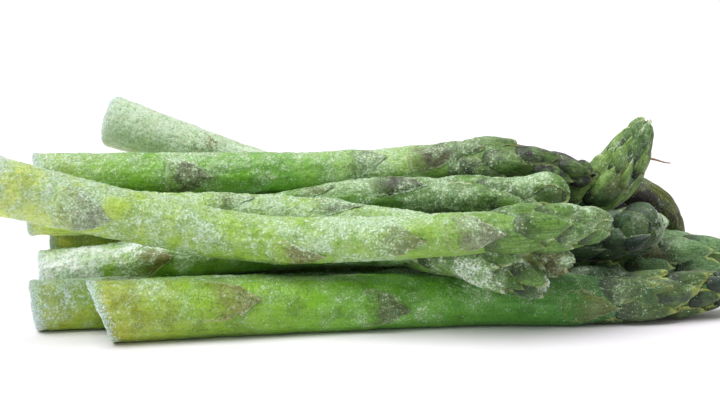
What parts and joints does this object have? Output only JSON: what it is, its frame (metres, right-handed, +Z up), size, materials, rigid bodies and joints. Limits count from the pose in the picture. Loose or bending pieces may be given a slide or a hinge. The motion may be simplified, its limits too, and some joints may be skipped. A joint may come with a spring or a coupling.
{
  "type": "bundle of asparagus",
  "caption": "Loose bundle of frozen green asparagus spears lying in a heap, cut butts at one end and budded heads at the other, the stalks clasped by scale leaves.",
  "frame": {"origin": "on the surface under the heap, at the middle of its bounding box", "axes": "+X along the spears from the cut butts to the heads, +Y from the front of the heap to its back, +Z up"},
  "size_m": [0.1882, 0.087, 0.0502],
  "materials": {
    "stalk": "moist green skin under a fine white frost",
    "scale_leaf": "dry papery green-brown to purple, frosted at the edges"
  },
  "bodies": {
    "root": {"spear_01_stalk": "stalk", "spear_01_scale_leaf_1": "scale_leaf", "spear_01_scale_leaf_2": "scale_leaf", "spear_01_scale_leaf_3": "scale_leaf", "spear_01_scale_leaf_4": "scale_leaf", "spear_02_stalk": "stalk", "spear_02_scale_leaf_1": "scale_leaf", "spear_02_scale_leaf_2": "scale_leaf", "spear_02_scale_leaf_3": "scale_leaf", "spear_02_scale_leaf_4": "scale_leaf", "spear_03_stalk": "stalk", "spear_03_scale_leaf_1": "scale_leaf", "spear_03_scale_leaf_2": "scale_leaf", "spear_03_scale_leaf_3": "scale_leaf", "spear_03_scale_leaf_4": "scale_leaf", "spear_04_stalk": "stalk", "spear_04_scale_leaf_1": "scale_leaf", "spear_04_scale_leaf_2": "scale_leaf", "spear_04_scale_leaf_3": "scale_leaf", "spear_04_scale_leaf_4": "scale_leaf", "spear_05_stalk": "stalk", "spear_05_scale_leaf_1": "scale_leaf", "spear_05_scale_leaf_2": "scale_leaf", "spear_05_scale_leaf_3": "scale_leaf", "spear_05_scale_leaf_4": "scale_leaf", "spear_06_stalk": "stalk", "spear_06_scale_leaf_1": "scale_leaf", "spear_06_scale_leaf_2": "scale_leaf", "spear_06_scale_leaf_3": "scale_leaf", "spear_06_scale_leaf_4": "scale_leaf", "spear_07_stalk": "stalk", "spear_07_scale_leaf_1": "scale_leaf", "spear_07_scale_leaf_2": "scale_leaf", "spear_07_scale_leaf_3": "scale_leaf", "spear_07_scale_leaf_4": "scale_leaf", "spear_08_stalk": "stalk", "spear_08_scale_leaf_1": "scale_leaf", "spear_08_scale_leaf_2": "scale_leaf", "spear_08_scale_leaf_3": "scale_leaf", "spear_08_scale_leaf_4": "scale_leaf", "spear_09_stalk": "stalk", "spear_09_scale_leaf_1": "scale_leaf", "spear_09_scale_leaf_2": "scale_leaf", "spear_09_scale_leaf_3": "scale_leaf", "spear_09_scale_leaf_4": "scale_leaf", "spear_10_stalk": "stalk", "spear_10_scale_leaf_1": "scale_leaf", "spear_10_scale_leaf_2": "scale_leaf", "spear_10_scale_leaf_3": "scale_leaf", "spear_10_scale_leaf_4": "scale_leaf", "spear_11_stalk": "stalk", "spear_11_scale_leaf_1": "scale_leaf", "spear_11_scale_leaf_2": "scale_leaf", "spear_11_scale_leaf_3": "scale_leaf", "spear_11_scale_leaf_4": "scale_leaf", "spear_12_stalk": "stalk", "spear_12_scale_leaf_1": "scale_leaf", "spear_12_scale_leaf_2": "scale_leaf", "spear_12_scale_leaf_3": "scale_leaf", "spear_12_scale_leaf_4": "scale_leaf"}
  },
  "joints": []
}
